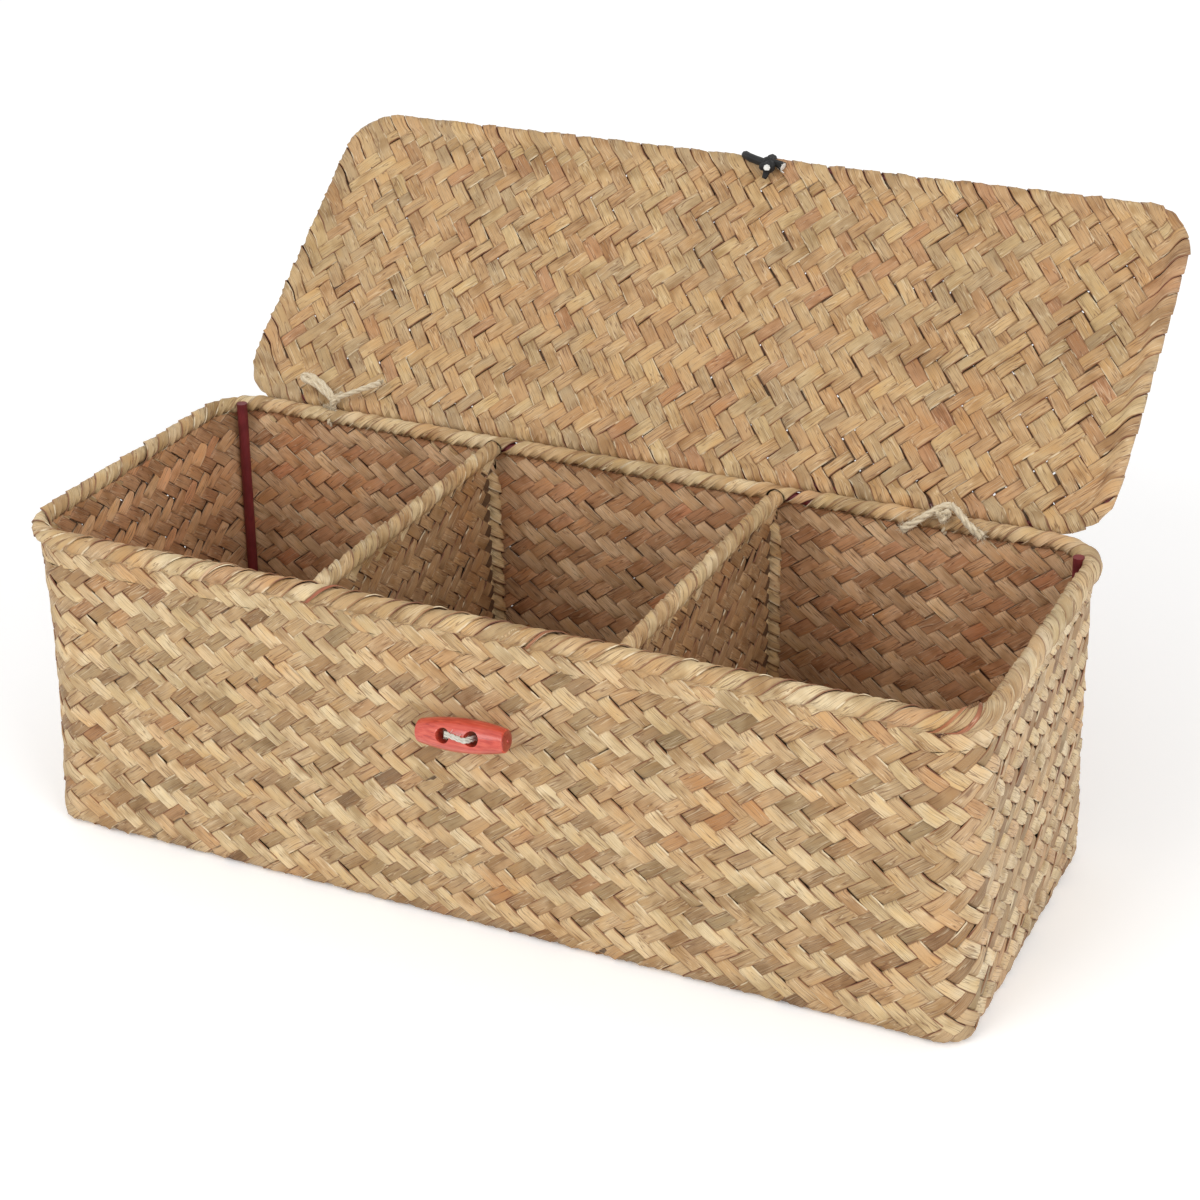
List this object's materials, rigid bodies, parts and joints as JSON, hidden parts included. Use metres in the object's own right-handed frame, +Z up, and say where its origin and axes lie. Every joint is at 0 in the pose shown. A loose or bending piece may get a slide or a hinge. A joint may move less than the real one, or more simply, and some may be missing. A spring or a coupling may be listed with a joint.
{
  "type": "woven lidded box",
  "caption": "Rectangular plaited seagrass box on a wire frame, split into compartments by woven dividers, with a twine-hinged flat lid, elastic loop and wooden toggle.",
  "frame": {"origin": "centre of the underside, on the surface it stands on", "axes": "+X along the length to the viewer's right, +Y to the back where the lid is tied, +Z up"},
  "size_m": [0.3726, 0.2763, 0.2163],
  "materials": {
    "seagrass_weave": "plaited dried seagrass, dull satin",
    "seagrass_border": "wrapped dried seagrass, dull satin",
    "painted_wire": "maroon enamel paint on steel wire, satin",
    "twine": "natural hemp twine, matt and hairy",
    "elastic": "black braided elastic cord, matt",
    "stained_wood": "red stained and lacquered wood, satin gloss"
  },
  "bodies": {
    "basket": {"woven_body": "seagrass_weave", "rim_border": "seagrass_border", "rim_wire": "painted_wire", "base_wire": "painted_wire", "corner_post_front_left": "painted_wire", "corner_post_front_right": "painted_wire", "corner_post_back_left": "painted_wire", "corner_post_back_right": "painted_wire", "left_divider_panel": "seagrass_weave", "left_divider_border": "seagrass_border", "left_divider_wire": "painted_wire", "left_divider_front_edge": "seagrass_border", "left_divider_back_edge": "seagrass_border", "right_divider_panel": "seagrass_weave", "right_divider_border": "seagrass_border", "right_divider_wire": "painted_wire", "right_divider_front_edge": "seagrass_border", "right_divider_back_edge": "seagrass_border", "left_hinge_tie": "twine", "right_hinge_tie": "twine", "toggle_knot": "twine"},
    "lid": {"lid_panel": "seagrass_weave", "lid_border": "seagrass_border", "lid_wire": "painted_wire", "elastic_knot": "elastic"},
    "closing_loop": {"elastic_loop": "elastic"},
    "toggle": {"toggle": "stained_wood", "toggle_twine": "twine"}
  },
  "joints": [
    {"name": "lid_hinge", "type": "hinge", "parent": "basket", "child": "lid", "pos_m": [0, 0.07187, 0.12568], "axis": [1, 0, 0], "range_deg": [0, 140.2], "deforming": ["left_hinge_tie", "right_hinge_tie"]},
    {"name": "loop_swing", "type": "hinge", "parent": "lid", "child": "closing_loop", "pos_m": [0.0038, 0.18413, 0.21022], "axis": [1, 0, 0], "range_deg": [-22, 180]},
    {"name": "toggle_swivel", "type": "hinge", "parent": "basket", "child": "toggle", "pos_m": [0.00399, -0.0781, 0.0837], "axis": [0, 1, 0], "range_deg": [-25, 25]}
  ]
}
